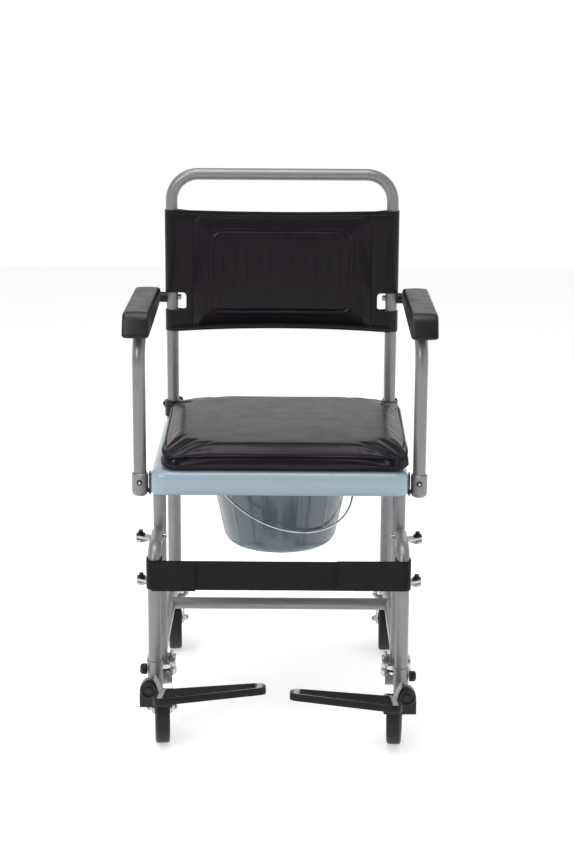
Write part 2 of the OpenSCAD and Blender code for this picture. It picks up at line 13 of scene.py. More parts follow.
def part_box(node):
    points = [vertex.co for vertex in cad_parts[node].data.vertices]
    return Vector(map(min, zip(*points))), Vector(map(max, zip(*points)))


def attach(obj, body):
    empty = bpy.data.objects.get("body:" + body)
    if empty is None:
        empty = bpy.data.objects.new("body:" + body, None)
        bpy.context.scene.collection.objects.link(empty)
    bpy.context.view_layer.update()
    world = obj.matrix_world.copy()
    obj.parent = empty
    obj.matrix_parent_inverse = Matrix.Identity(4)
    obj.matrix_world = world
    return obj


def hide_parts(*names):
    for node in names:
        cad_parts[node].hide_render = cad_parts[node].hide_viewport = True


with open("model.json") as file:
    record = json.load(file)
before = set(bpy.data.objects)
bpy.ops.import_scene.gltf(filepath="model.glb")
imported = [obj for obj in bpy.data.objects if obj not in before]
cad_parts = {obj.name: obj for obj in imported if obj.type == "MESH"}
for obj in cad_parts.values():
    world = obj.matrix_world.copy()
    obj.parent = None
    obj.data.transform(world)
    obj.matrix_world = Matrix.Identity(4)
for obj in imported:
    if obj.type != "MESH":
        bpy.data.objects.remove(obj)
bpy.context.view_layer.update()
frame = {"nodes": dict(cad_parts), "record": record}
NODES = frame["nodes"]
SIDES = (("left", -1), ("right", 1))
UP, FORWARDS, BACKWARDS = Vector((0, 0, 1)), Vector((0, -1, 0)), Vector((0, 1, 0))
TUBE_R = 0.0111
LEG_Y = sum(v.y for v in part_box("back_tube")) / 2  # the back tube's legs, and the rear posts
BACK_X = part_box("back_tube")[1].x - TUBE_R
MID_Y = LEG_Y - 0.203  # the CAD source's own y of zero


# ---- camera, light, floor
IMAGE_LONG_SIDE = 861
FOCAL_PIXELS = 1948.97
SENSOR = 36.0
FAR_CLIP = 50
CAMERA_AT = Vector((0.02265, MID_Y - 3.455, 1.3784))
CAMERA_TILT, CAMERA_YAW, CAMERA_ROLL = 0.2467, -0.0031, 0.0053
LIGHT_TARGET = Vector((0, 0, 0.5))
LIGHTS = (  # name, place, size, watts
    ("key", (-1.7, -2.2, 2.4), (1.1, 1.1), 30),
    ("fill", (2.3, -1.7, 1.5), (0.7, 1.6), 8),
    ("top", (-0.2, -0.3, 2.8), (2.0, 1.6), 34),
)
# The world is grey in front of the chair, white behind it, and half as bright overhead.
WORLD_BY_Y = {"From Min": -0.55, "From Max": 0.45, "To Min": 0.36, "To Max": 1.02}
WORLD_BY_Z = {"From Min": 0.05, "From Max": 0.6, "To Min": 1.0, "To Max": 0.5}
FLOOR_SIZE, FLOOR_Z = 10, -0.0005
FLOOR_LOOK = {"Base Color": (0.97, 0.97, 0.97, 1), "Roughness": 0.9,
              "Emission Color": (1, 1, 1, 1), "Emission Strength": 0.52}


def make_camera():
    data = bpy.data.cameras.new("camera")
    data.sensor_width = SENSOR
    data.lens = FOCAL_PIXELS * SENSOR / IMAGE_LONG_SIDE
    data.clip_end = FAR_CLIP
    camera = add_object("camera", data)
    look = Vector((math.sin(CAMERA_YAW) * math.cos(CAMERA_TILT),
                   math.cos(CAMERA_YAW) * math.cos(CAMERA_TILT), -math.sin(CAMERA_TILT)))
    level = Vector((math.cos(CAMERA_YAW), -math.sin(CAMERA_YAW), 0))
    upright = level.cross(look)
    right = math.cos(CAMERA_ROLL) * level + math.sin(CAMERA_ROLL) * upright
    up = -math.sin(CAMERA_ROLL) * level + math.cos(CAMERA_ROLL) * upright
    turn = Matrix((right, up, -look)).transposed().to_4x4()
    camera.matrix_world = Matrix.Translation(CAMERA_AT) @ turn
    bpy.context.scene.camera = camera


def add_object(name, data):
    made = bpy.data.objects.new(name, data)
    bpy.context.scene.collection.objects.link(made)
    return made


def area_light(name, at, size, power):
    data = bpy.data.lights.new(name, "AREA")
    data.shape = "RECTANGLE"
    data.size, data.size_y = size
    data.energy = power
    lamp = add_object(name, data)
    lamp.location = at
    lamp.rotation_euler = (LIGHT_TARGET - Vector(at)).to_track_quat("-Z", "Y").to_euler()


def set_sockets(node, values):
    for socket, value in values.items():
        node.inputs[socket].default_value = value


def eased(tree, source, limits):
    """A value carried smoothly from one range to another."""
    node = tree.nodes.new("ShaderNodeMapRange")
    node.interpolation_type = "SMOOTHSTEP"
    set_sockets(node, limits)
    tree.links.new(source, node.inputs["Value"])
    return node.outputs["Result"]


def make_studio():
    """A soft world that depends on direction only, three area lights and a glowing floor."""
    world = bpy.data.worlds.new("studio")
    world.use_nodes = True
    tree = world.node_tree
    where = tree.nodes.new("ShaderNodeTexCoord")
    split = tree.nodes.new("ShaderNodeSeparateXYZ")
    tree.links.new(where.outputs["Generated"], split.inputs["Vector"])
    strength = tree.nodes.new("ShaderNodeMath")
    strength.operation = "MULTIPLY"
    tree.links.new(eased(tree, split.outputs["Y"], WORLD_BY_Y), strength.inputs[0])
    tree.links.new(eased(tree, split.outputs["Z"], WORLD_BY_Z), strength.inputs[1])
    background = tree.nodes["Background"]
    tree.links.new(strength.outputs["Value"], background.inputs["Strength"])
    background.inputs["Color"].default_value = (1, 1, 1, 1)
    scene = bpy.context.scene
    scene.world = world
    scene.view_settings.view_transform = "Standard"
    for name, at, size, power in LIGHTS:
        area_light(name, at, size, power)
    bpy.ops.mesh.primitive_plane_add(size=FLOOR_SIZE, location=(0, 0, FLOOR_Z))
    floor = bpy.context.object
    floor.name = "floor"
    look, _, shader = new_material("floor")
    set_sockets(shader, FLOOR_LOOK)
    floor.data.materials.append(look)


# ---- materials
TEXTURES = {"noise": "ShaderNodeTexNoise", "cells": "ShaderNodeTexVoronoi", "wave": "ShaderNodeTexWave"}
SMOOTHEST = 0.03


def new_material(name):
    made = bpy.data.materials.new(name)
    made.use_nodes = True
    return made, made.node_tree, made.node_tree.nodes["Principled BSDF"]


def texture(tree, kind, scale, **settings):
    """A texture on the object's own coordinates, as the output that carries its height."""
    place = tree.nodes.get("place") or tree.nodes.new("ShaderNodeTexCoord")
    place.name = "place"
    node = tree.nodes.new(TEXTURES[kind])
    tree.links.new(place.outputs["Object"], node.inputs["Vector"])
    node.inputs["Scale"].default_value = scale
    for key, value in settings.items():
        if key in node.inputs:
            node.inputs[key].default_value = value
        else:
            setattr(node, key, value)
    return node.outputs["Distance" if kind == "cells" else "Fac"]


def ramp(tree, source, low, high):
    """A blend from one colour to another over the middle of a texture's range."""
    node = tree.nodes.new("ShaderNodeValToRGB")
    for element, at, color in zip(node.color_ramp.elements, (0.3, 0.7), (low, high)):
        element.position = at
        element.color = (*color, 1)
    tree.links.new(source, node.inputs["Fac"])
    return node.outputs["Color"]


def bump(tree, source, depth, below=None):
    node = tree.nodes.new("ShaderNodeBump")
    set_sockets(node, {"Distance": depth, "Strength": 1.0})
    tree.links.new(source, node.inputs["Height"])
    if below:
        tree.links.new(below, node.inputs["Normal"])
    return node.outputs["Normal"]


def material(name, base, rough, patch=0.08, patch_scale=9.0, rough_spread=0.06, rough_scale=35.0,
             metallic=0.0, coat=0.0, coat_rough=0.08, specular=0.5, tint=(1, 1, 1), bumps=()):
    """A surface whose colour and roughness drift over it, with layers of relief from bumps.

    Each bump is a texture's kind, its scale, its depth in metres and its settings.
    """
    made, tree, shader = new_material(name)
    set_sockets(shader, {"Metallic": metallic, "Coat Weight": coat, "Coat Roughness": coat_rough,
                         "Specular IOR Level": specular, "Specular Tint": (*tint, 1)})
    drift = texture(tree, "noise", patch_scale, Detail=6, Roughness=0.6)
    dark = [c * (1 - patch) for c in base]
    light = [min(1, c * (1 + patch)) for c in base]
    tree.links.new(ramp(tree, drift, dark, light), shader.inputs["Base Color"])
    smear = texture(tree, "noise", rough_scale, Detail=4, Roughness=0.55)
    low, high = max(SMOOTHEST, rough - rough_spread), min(1, rough + rough_spread)
    tree.links.new(ramp(tree, smear, [low] * 3, [high] * 3), shader.inputs["Roughness"])
    normal = None
    for kind, scale, depth, settings in bumps:
        normal = bump(tree, texture(tree, kind, scale, **settings), depth, normal)
    if normal:
        tree.links.new(normal, shader.inputs["Normal"])
    return made


GRAIN = ("cells", 620, 0.00022, {"feature": "SMOOTH_F1", "Smoothness": 0.35})
WRINKLE = ("noise", 24, 0.0003, {"Detail": 2})
MOULDED = ("cells", 1500, 0.00006, {"feature": "F1"})
WARM = (1.0, 0.91, 0.98)
FINISHES = {
    "frame_tube": dict(
        base=(0.25, 0.25, 0.262), rough=0.4, patch=0.04, patch_scale=60, rough_spread=0.05,
        metallic=0.5, coat=0.3, coat_rough=0.2,
        bumps=[("noise", 420, 0.00005, {"Detail": 2}), ("noise", 2600, 0.00003, {"Detail": 1})]),
    "zinc": dict(
        base=(0.44, 0.44, 0.43), rough=0.3, patch=0.22, patch_scale=120, rough_spread=0.1,
        rough_scale=160, metallic=0.95, bumps=[("noise", 900, 0.00004, {"Detail": 3})]),
    "caster_chrome": dict(
        base=(0.56, 0.56, 0.55), rough=0.2, patch=0.16, patch_scale=80, rough_spread=0.08,
        rough_scale=120, metallic=0.95, bumps=[("noise", 260, 0.00008, {"Detail": 2})]),
    "black_plastic": dict(
        base=(0.009, 0.008, 0.009), rough=0.34, patch=0.2, patch_scale=50, specular=0.32, tint=WARM,
        bumps=[MOULDED]),
    "arm_pad": dict(
        base=(0.007, 0.006, 0.006), rough=0.38, patch=0.12, patch_scale=24, specular=0.45, tint=WARM,
        bumps=[("noise", 150, 0.00012, {"Detail": 3}), ("cells", 1100, 0.00009, {"feature": "F1"})]),
    "vinyl": dict(
        base=(0.005, 0.0036, 0.006), rough=0.32, patch=0.08, patch_scale=7, rough_spread=0.04,
        specular=0.24, coat=0.12, coat_rough=0.16, tint=(1.0, 0.88, 1.0), bumps=[WRINKLE, GRAIN]),
    "seat_plastic": dict(
        base=(0.33, 0.44, 0.515), rough=0.22, patch=0.03, patch_scale=5, rough_spread=0.05,
        coat=0.3, coat_rough=0.12, bumps=[("noise", 90, 0.00012, {"Detail": 2})]),
    "pan_plastic": dict(
        base=(0.1, 0.135, 0.16), rough=0.2, patch=0.06, patch_scale=14, rough_spread=0.05,
        coat=0.4, coat_rough=0.1, bumps=[("noise", 60, 0.0003, {"Detail": 2})]),
    "bail_wire": dict(
        base=(0.62, 0.64, 0.65), rough=0.2, patch=0.08, patch_scale=90, metallic=1.0,
        bumps=[("noise", 1200, 0.00003, {"Detail": 2})]),
    "plate_plastic": dict(
        base=(0.4, 0.4, 0.4), rough=0.45, patch=0.06, patch_scale=30, bumps=[MOULDED]),
    "foot_mat": dict(
        base=(0.008, 0.007, 0.0075), rough=0.45, patch=0.2, patch_scale=40, specular=0.32, tint=WARM,
        bumps=[("noise", 300, 0.0001, {"Detail": 4})]),
    "webbing": dict(
        base=(0.014, 0.0115, 0.012), rough=0.8, patch=0.3, patch_scale=300, specular=0.3,
        bumps=[("wave", 260, 0.0005, {"bands_direction": "Z", "Distortion": 0.6}),
               ("wave", 330, 0.0003, {"bands_direction": "X", "Distortion": 0.8})]),
    "tyre": dict(
        base=(0.013, 0.012, 0.0135), rough=0.5, patch=0.2, patch_scale=30, specular=0.35, tint=WARM,
        bumps=[("noise", 220, 0.00015, {"Detail": 4})]),
    "wheel_core": dict(
        base=(0.018, 0.018, 0.019), rough=0.4, patch=0.15, patch_scale=40, bumps=[MOULDED]),
}


# ---- mesh helpers
def add_mesh(name, points, faces, finish):
    mesh = bpy.data.meshes.new(name)
    mesh.from_pydata([tuple(map(float, p)) for p in points], [], faces)
    mesh.validate()
    mesh.update()
    for polygon in mesh.polygons:
        polygon.use_smooth = True
    mesh.materials.append(MATERIALS[finish])
    return add_object(name, mesh)


def ring_faces(rings, count, loop=False):
    """Quads between rings of count points each: a closed loop of rings, or a cap on both ends."""
    faces = []
    for i in range(rings if loop else rings - 1):
        a, b = i * count, (i + 1) % rings * count
        faces += [(a + j, a + (j + 1) % count, b + (j + 1) % count, b + j) for j in range(count)]
    if not loop:
        faces.append(tuple(reversed(range(count))))
        faces.append(tuple(range((rings - 1) * count, rings * count)))
    return faces


def grid_faces(rows, columns):
    return [(i * columns + j, i * columns + j + 1, (i + 1) * columns + j + 1, (i + 1) * columns + j)
            for i in range(rows - 1) for j in range(columns - 1)]


def loft(name, rings, finish, loop=False):
    points = [p for ring in rings for p in ring]
    return add_mesh(name, points, ring_faces(len(rings), len(rings[0]), loop), finish)


def sweep(name, path, radius, finish, sides=12, loop=False, flat=1.0):
    """A tube along a path of points, on a frame that doesn't twist. flat scales it sideways."""
    path = [Vector(p) for p in path]
    count = len(path)
    side = None
    rings = []
    for i, at in enumerate(path):
        ahead = path[(i + 1) % count] if loop or i + 1 < count else at
        behind = path[i - 1] if loop or i else at
        along = (ahead - behind).normalized()
        if side is None:
            side = along.orthogonal().normalized()
        side = (side - along * side.dot(along)).normalized()
        up = along.cross(side)
        rings.append([at + radius * (math.cos(a) * side * flat + math.sin(a) * up)
                      for a in np.linspace(0, 2 * math.pi, sides, endpoint=False)])
    return loft(name, rings, finish, loop=loop)


def revolve(profile, at, axis, segments, wobble=None):
    """Rings of points from (radius, height) pairs turned about an axis. wobble may move a radius."""
    axis = Vector(axis).normalized()
    side = axis.orthogonal().normalized()
    other = axis.cross(side)
    rings = []
    for radius, height in profile:
        ring = []
        for a in np.linspace(0, 2 * math.pi, segments, endpoint=False):
            r = radius + (float(wobble(a, radius, height)) if wobble else 0)
            ring.append(Vector(at) + axis * height + r * (math.cos(a) * side + math.sin(a) * other))
        rings.append(ring)
    return rings


def apply_modifiers(obj):
    graph = bpy.context.evaluated_depsgraph_get()
    graph.update()
    mesh = bpy.data.meshes.new_from_object(obj.evaluated_get(graph))
    obj.modifiers.clear()
    obj.data = mesh
    return obj


def thicken(obj, thickness, offset):
    """A solidify modifier. An offset of 0 is centred, and -1 goes inwards."""
    modifier = obj.modifiers.new("thick", "SOLIDIFY")
    modifier.thickness = thickness
    modifier.offset = offset


def add_cut(obj, cutter):
    cut = obj.modifiers.new("cut", "BOOLEAN")
    cut.operation = "DIFFERENCE"
    cut.solver = "EXACT"
    cut.object = cutter


@contextmanager
def edited(obj):
    """A mesh as a bmesh, written back at the end."""
    shape = bmesh.new()
    shape.from_mesh(obj.data)
    yield shape
    shape.to_mesh(obj.data)
    shape.free()


def fix_normals(obj):
    with edited(obj) as shape:
        bmesh.ops.recalc_face_normals(shape, faces=shape.faces)


def smooth_by_angle(obj, angle):
    """Sharp edges where faces meet at more than angle."""
    with edited(obj) as shape:
        for edge in shape.edges:
            edge.smooth = len(edge.link_faces) == 2 and edge.calc_face_angle(0) < angle


def hump(distance, width):
    """A bell curve that is 1 at no distance and small beyond width."""
    return np.exp(-((distance / width) ** 2))


def arc(centre, radius, start, end, count):
    """Points of an arc in a plane, with angles in degrees."""
    angles = np.radians(np.linspace(start, end, count))
    return [(centre[0] + radius * math.cos(a), centre[1] + radius * math.sin(a)) for a in angles]


def filleted(corners, per_corner=8):
    """A closed outline from (x, y, radius) corners."""
    points = []
    for i, (x, y, radius) in enumerate(corners):
        here = Vector((x, y))
        before = Vector(corners[i - 1][:2]) - here
        after = Vector(corners[(i + 1) % len(corners)][:2]) - here
        half = before.angle(after) / 2
        reach = min(radius / math.tan(half), before.length * 0.49, after.length * 0.49)
        start, end = here + before.normalized() * reach, here + after.normalized() * reach
        for t in np.linspace(0, 1, per_corner):
            points.append(start.lerp(here, t).lerp(here.lerp(end, t), t))
    return points


def resampled(points, count):
    """The same closed outline as count evenly spaced points."""
    path = np.array([tuple(p) for p in points] + [tuple(points[0])], float)
    length = np.concatenate([[0], np.cumsum(np.linalg.norm(np.diff(path, axis=0), axis=1))])
    where = np.linspace(0, length[-1], count, endpoint=False)
    return np.stack([np.interp(where, length, path[:, k]) for k in range(path.shape[1])], axis=1)


def stand_in(obj, body, finish, *nodes):
    """Parents a piece to the body it rides, and hides the CAD nodes it replaces."""
    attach(obj, body)
    if nodes:
        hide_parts(*nodes)


def solid(name, rings, finish, angle, body, *nodes, loop=False):
    """A closed lofted piece, on its body in place of its CAD nodes. Without an angle its shading is smooth
    all over.
    """
    made = loft(name, rings, finish, loop)
    fix_normals(made)
    if angle:
        smooth_by_angle(made, angle)
    stand_in(made, body, finish, *nodes)
    return made


# ---- CAD nodes that stay
def dress_cad_nodes():
    for part in frame["record"]["subparts"]:
        node = NODES[part["node"]]
        node.data.materials.clear()
        node.data.materials.append(MATERIALS[part["material_slot"]])


# ---- cushion
SEAM_UP, CREST_UP = 0.0065, 0.0305  # heights of the two piped lines above the cushion's base
FRONT_CORNER, REAR_CORNER, REAR_OUT = 0.03, 0.062, 0.004
CUSHION_VOXEL = 0.004
CLOTH = {"vertex_group_mass": "pin", "use_pressure": True, "uniform_pressure_force": 4, "mass": 0.4,
         "tension_stiffness": 40, "compression_stiffness": 40, "shear_stiffness": 20, "bending_stiffness": 4}
MOST_SWELL = 0.005
SAG_REACH, SAG_FORWARDS, SAG_DOWN = 0.016, 0.0045, 0.0024
CREASES = (  # place across and along the top, turn, length, depth
    (0.3, 0.52, 0.25, 0.03, 0.0005), (0.27, 0.6, -0.1, 0.024, 0.00035),
    (0.33, 0.4, 0.1, 0.026, 0.0004), (0.78, 0.52, -0.2, 0.02, 0.0007),
    (0.8, 0.56, 0.15, 0.018, 0.0005), (0.5, 0.3, 0.05, 0.045, 0.00015),
)


def inset_box(low, high, inset):
    return Vector(low[:2]) + Vector((inset, inset)), Vector(high[:2]) - Vector((inset, inset))


def cushion_outline(inset, count):
    low, high = inset_box(*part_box("cushion"), inset)
    corners = [(low.x, low.y, FRONT_CORNER), (high.x, low.y, FRONT_CORNER),
               (high.x + REAR_OUT, high.y, REAR_CORNER), (low.x - REAR_OUT, high.y, REAR_CORNER)]
    return resampled(filleted(corners, 14), count)


def inflate(obj, pinned, frames=20):
    """Swells a closed mesh by cloth simulation. Points where pinned(point) is true stay."""
    rest = np.array([v.co for v in obj.data.vertices])
    group = obj.vertex_groups.new(name="pin")
    group.add([i for i, p in enumerate(rest) if pinned(p)], 1.0, "REPLACE")
    cloth = obj.modifiers.new("cloth", "CLOTH")
    cloth.settings.effector_weights.gravity = 0
    for key, value in CLOTH.items():
        setattr(cloth.settings, key, value)
    cloth.point_cache.frame_end = frames
    scene = bpy.context.scene
    for i in range(1, frames + 1):
        scene.frame_set(i)
    graph = bpy.context.evaluated_depsgraph_get()
    swollen = np.array([v.co for v in obj.evaluated_get(graph).data.vertices])
    obj.modifiers.clear()
    move = swollen - rest
    length = np.linalg.norm(move, axis=1, keepdims=True)
    move *= np.minimum(1, MOST_SWELL / np.maximum(length, 1e-9))
    obj.data.vertices.foreach_set("co", (rest + move).astype(np.float32).ravel())
    obj.data.update()
    scene.frame_set(1)


def make_cushion():
    low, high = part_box("cushion")
    around = 220
    seam_z, crest_z = low.z + SEAM_UP, low.z + CREST_UP
    levels = [(0.011, low.z), (0.004, low.z + 0.0014), (0.0015, low.z + 0.0045), (0.0012, seam_z),
              (0.0002, seam_z + 0.005), (0, seam_z + 0.012), (0.0012, crest_z - 0.0035), (0.0035, crest_z),
              (0.007, crest_z - 0.0008), (0.011, crest_z + 0.0004), (0.02, crest_z + 0.0026),
              (0.034, crest_z + 0.0048)]
    rings = [[(x, y, z) for x, y in cushion_outline(inset, around)] for inset, z in levels]
    middle = np.array((low + high)[:2]) / 2
    edge_inset, edge_z = levels[-1]
    edge = cushion_outline(edge_inset, around)
    for share in (0.8, 0.6, 0.4, 0.2, 0.05):
        height = edge_z + (high.z - edge_z) * (1 - share ** 2)
        rings.append([(*(middle + (p - middle) * share), height) for p in edge])
    pad = loft("cushion_cover", rings, "vinyl")
    remesh = pad.modifiers.new("remesh", "REMESH")
    remesh.mode = "VOXEL"
    remesh.voxel_size = CUSHION_VOXEL
    apply_modifiers(pad)
    inflate(pad, lambda p: p[2] < low.z + 0.003 or abs(p[2] - seam_z) < 0.0026)
    finer = pad.modifiers.new("smooth", "SUBSURF")
    finer.levels = finer.render_levels = 1
    apply_modifiers(pad)
    points = np.array([v.co for v in pad.data.vertices])
    crease(points, low, high)
    points[:, 2] = np.clip(points[:, 2], low.z, high.z + 0.004)
    points = drooped(points, low, high)
    pad.data.vertices.foreach_set("co", points.astype(np.float32).ravel())
    for polygon in pad.data.polygons:
        polygon.use_smooth = True
    pad.data.materials.clear()
    pad.data.materials.append(MATERIALS["vinyl"])
    stand_in(pad, "cushion", "vinyl", "cushion")
    for name, inset, z, radius, sink in (("crest", 0.0038, crest_z - 0.0002, 0.0024, 0.007),
                                         ("seam", 0.0012, seam_z, 0.0012, 0)):
        path = drooped(np.array([(x, y, z) for x, y in cushion_outline(inset, 260)]), low, high)
        path[:, 2] -= sink * np.clip((path[:, 1] - low.y - 0.03) / 0.09, 0, 1)
        piping = sweep(f"cushion_piping_{name}", path, radius, "vinyl", sides=10, loop=True)
        stand_in(piping, "cushion", "vinyl")


def drooped(points, low, high):
    """The front edge sags forwards over the board's rounded front, and thins towards its two corners."""
    share = np.clip((low.y + SAG_REACH - points[:, 1]) / SAG_REACH, 0, 1)
    share = (share ** 2 * (3 - 2 * share))[:, None]
    moved = points - share * np.array([0, SAG_FORWARDS, SAG_DOWN])
    sideways = np.minimum(points[:, 0] - low.x, high.x - points[:, 0]) - 0.006
    lengthways = points[:, 1] - low.y - 0.004
    corner = hump(sideways, 0.045) * hump(lengthways, 0.03)
    moved[:, 2] -= 0.3 * corner * np.clip(points[:, 2] - low.z - 0.004, 0, 1)
    return moved


def crease(points, low, high):
    """Shallow creases in the cover: a few short ones on top and gathers at the front corners."""
    top = points[:, 2] > low.z + 0.024
    width, depth = high.x - low.x, high.y - low.y
    for x, y, turn, length, deep in CREASES:
        dx = points[:, 0] - (low.x + x * width)
        dy = points[:, 1] - (low.y + y * depth)
        along = dx * math.cos(turn) + dy * math.sin(turn)
        across = -dx * math.sin(turn) + dy * math.cos(turn)
        groove = hump(across, 0.0035) - 0.6 * hump(across - 0.006, 0.004)
        points[:, 2] -= top * deep * hump(along, length) * groove
    for x in (low.x, high.x):
        away = np.hypot(points[:, 0] - x, points[:, 1] - low.y)
        angle = np.arctan2(points[:, 1] - low.y, points[:, 0] - x)
        gather = hump(away - 0.022, 0.016) * np.sin(angle * 16)
        points[:, 2] += (points[:, 2] > low.z + 0.018) * 0.0009 * gather


# ---- back sling
SLING_SHEET = 0.0016
SLEEVE_R = TUBE_R + 0.0005 + SLING_SHEET / 2
PANEL_X = 0.166  # the seam where the sleeves are sewn to the padded panel
SAG_TOP, SAG_BOTTOM = -0.004, 0.006  # how far the edges' middles draw in
SEAM_IN = 0.0085  # from the edges to their stitched seams
FOAM_RISE, FOAM_REACH = 0.007, 0.02
FRAME_X, FRAME_Z, FRAME_HALF_W, FRAME_HALF_H, FRAME_CORNER = -0.001, 0.7705, 0.13, 0.0755, 0.017
RIB_PITCH, RIB_DEPTH = 0.0223, 0.0015
WINDOW_X, WINDOW_Z = (0.181, 0.26), (0.695, 0.729)
BOW = 0.0055
LINING_T, HEM_R = 0.0015, 0.0029
STITCH, STITCH_PITCH = 0.0032, 0.005
THREAD, THREAD_SIDES, THREAD_R = ((0, 0.5), (0.2, 1), (0.8, 1), (1, 0.5)), 6, 0.00045


def sling_path():
    """Plan view of the sheet's two ends, each from the front of its tube round behind it to the seam."""
    right = arc((BACK_X, LEG_Y), SLEEVE_R, -90, 105, 34)
    right += [(BACK_X - 0.014, LEG_Y + 0.0095), (PANEL_X + 0.006, LEG_Y - 0.002), (PANEL_X, LEG_Y - 0.0035)]
    left = [(-x, y) for x, y in reversed(right)]
    return left, right


def make_sling():
    low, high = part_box("back_sling")
    front = LEG_Y - SLEEVE_R
    left, right = sling_path()
    across = [(x, front + bow(x)) for x in np.linspace(-BACK_X, BACK_X, 300)[1:-1]]
    path = np.array(left + across + right)
    tall = 150
    points = []
    for v in np.linspace(0, 1, tall):
        for i, (x, y) in enumerate(path):
            z_low, z_high = low.z + SAG_BOTTOM * hollow(x), high.z + SAG_TOP * hollow(x)
            z = z_low + v * (z_high - z_low)
            on_front = len(left) <= i < len(left) + len(across)
            points.append((x, y - (emboss(x, z, z_low, z_high) if on_front else 0), z))
    sheet = add_mesh("back_sling_cover", points, grid_faces(tall, len(path)), "vinyl")
    thicken(sheet, SLING_SHEET, 0)
    cutters = [window_cutter(side) for _, side in SIDES]
    for cutter in cutters:
        add_cut(sheet, cutter)
    apply_modifiers(sheet)
    for cutter in cutters:
        bpy.data.objects.remove(cutter)
    stand_in(sheet, "backrest", "vinyl", "back_sling")
    make_sling_back(low, high)
    make_sling_edges(low, high, front)


def bow(x):
    """How far the sheet sits behind the tubes' front, from use."""
    return BOW * max(0.0, 1 - (x / (BACK_X - 0.012)) ** 2) ** 0.8


def hollow(x):
    """1 in the middle of the sling, 0 at its tubes."""
    return max(0.0, 1 - (x / BACK_X) ** 2)


def rounded_distance(x, z, half_w, half_h, radius):
    """Signed distance from a rounded rectangle's edge, negative inside."""
    qx, qz = abs(x) - half_w + radius, abs(z) - half_h + radius
    return math.hypot(max(qx, 0), max(qz, 0)) + min(max(qx, qz), 0) - radius


def emboss(x, z, z_low, z_high):
    """Height of the front face: foam inside the seams, a welded frame and upright ribs within it."""
    rise = 0.0
    inner = rounded_distance(x, z - (z_low + z_high) / 2, PANEL_X, (z_high - z_low) / 2 - 0.009, 0.014)
    if inner < 0:
        rise += FOAM_RISE * (1 - math.exp(inner / FOAM_REACH))
    edge = rounded_distance(x - FRAME_X, z - FRAME_Z, FRAME_HALF_W, FRAME_HALF_H, FRAME_CORNER)
    rise -= 0.0017 * hump(edge, 0.002) - 0.0007 * hump(edge - 0.004, 0.003)
    if edge < -0.004:
        fade = min(1, (-edge - 0.004) / 0.006)
        upper = 1 / (1 + math.exp(-(z - 0.745) / 0.02))
        groove = abs((x / RIB_PITCH + 0.5) % 1 - 0.5) * RIB_PITCH
        rise -= RIB_DEPTH * fade * (0.4 + 0.6 * upper) * hump(groove, 0.0018)
    for seam in (z_low + SEAM_IN, z_high - SEAM_IN):
        rise -= 0.0009 * hump(z - seam, 0.0012)
    rise -= 0.001 * hump(abs(x) - PANEL_X - 0.003, 0.0016)
    return rise + 0.0016 * noise.noise(Vector((x * 9, 3.7, z * 7)))


def window_cutter(side):
    """A rounded block that cuts the sling open at an arm pivot."""
    (inner, outer), (low, high) = WINDOW_X, WINDOW_Z
    corners = [(inner, low, 0.008), (outer, low, 0.001), (outer, high, 0.001), (inner, high, 0.008)]
    outline = filleted(corners, 8)
    if side < 0:
        outline = [Vector((-p.x, p.y)) for p in reversed(outline)]
    rings = [[(p.x, y, p.y) for p in outline] for y in (LEG_Y + 0.04, LEG_Y - 0.04)]
    return loft("cutter", rings, "vinyl")


def make_sling_back(low, high):
    """The plain rear layer of the padded panel."""
    rows, columns = 40, 70
    points = []
    for v in np.linspace(0, 1, rows):
        for x in np.linspace(-PANEL_X - 0.004, PANEL_X + 0.004, columns):
            z_low = low.z + 0.008 + SAG_BOTTOM * hollow(x)
            z_high = high.z - 0.008 + SAG_TOP * hollow(x)
            puff = 0.004 * (1 - (x / PANEL_X) ** 4) * (1 - (2 * v - 1) ** 6)
            rough = 0.0012 * noise.noise(Vector((x * 11, 1.3, v * 3)))
            points.append((x, LEG_Y - 0.0045 + max(0, puff) + rough, z_low + v * (z_high - z_low)))
    back = add_mesh("back_sling_lining", points, grid_faces(rows, columns), "vinyl")
    thicken(back, LINING_T, -1)
    apply_modifiers(back)
    stand_in(back, "backrest", "vinyl")


def make_sling_edges(low, high, front):
    """Bound hems along the top and bottom, and stitches beside them and down both seams."""
    xs = np.linspace(-BACK_X + 0.002, BACK_X - 0.002, 120)
    for name, z, sag in (("top", high.z - 0.001, SAG_TOP), ("bottom", low.z + 0.001, SAG_BOTTOM)):
        path = [(x, front + bow(x) + 0.0006, z + sag * hollow(x)) for x in xs]
        hem = sweep(f"back_sling_hem_{name}", path, HEM_R, "vinyl", flat=0.8)
        stand_in(hem, "backrest", "vinyl")
    stitches = []
    for z, sag in ((high.z - SEAM_IN, SAG_TOP), (low.z + SEAM_IN, SAG_BOTTOM)):
        for x in np.arange(-0.19, 0.19, STITCH_PITCH):
            shift = z + sag * hollow(x)
            at = front + bow(x) - max(0, emboss(x, shift, low.z, high.z)) - 0.0008
            stitches.append(((x, at, shift), (x + STITCH, at, shift)))
    for side in (-1, 1):
        for z in np.arange(low.z + 0.012, high.z - 0.012, STITCH_PITCH):
            x = side * (PANEL_X + 0.003)
            at = front + bow(x) - 0.0006
            stitches.append(((x, at, z), (x, at, z + STITCH)))
    join_stitches("back_sling_stitching", stitches, "backrest", "vinyl")


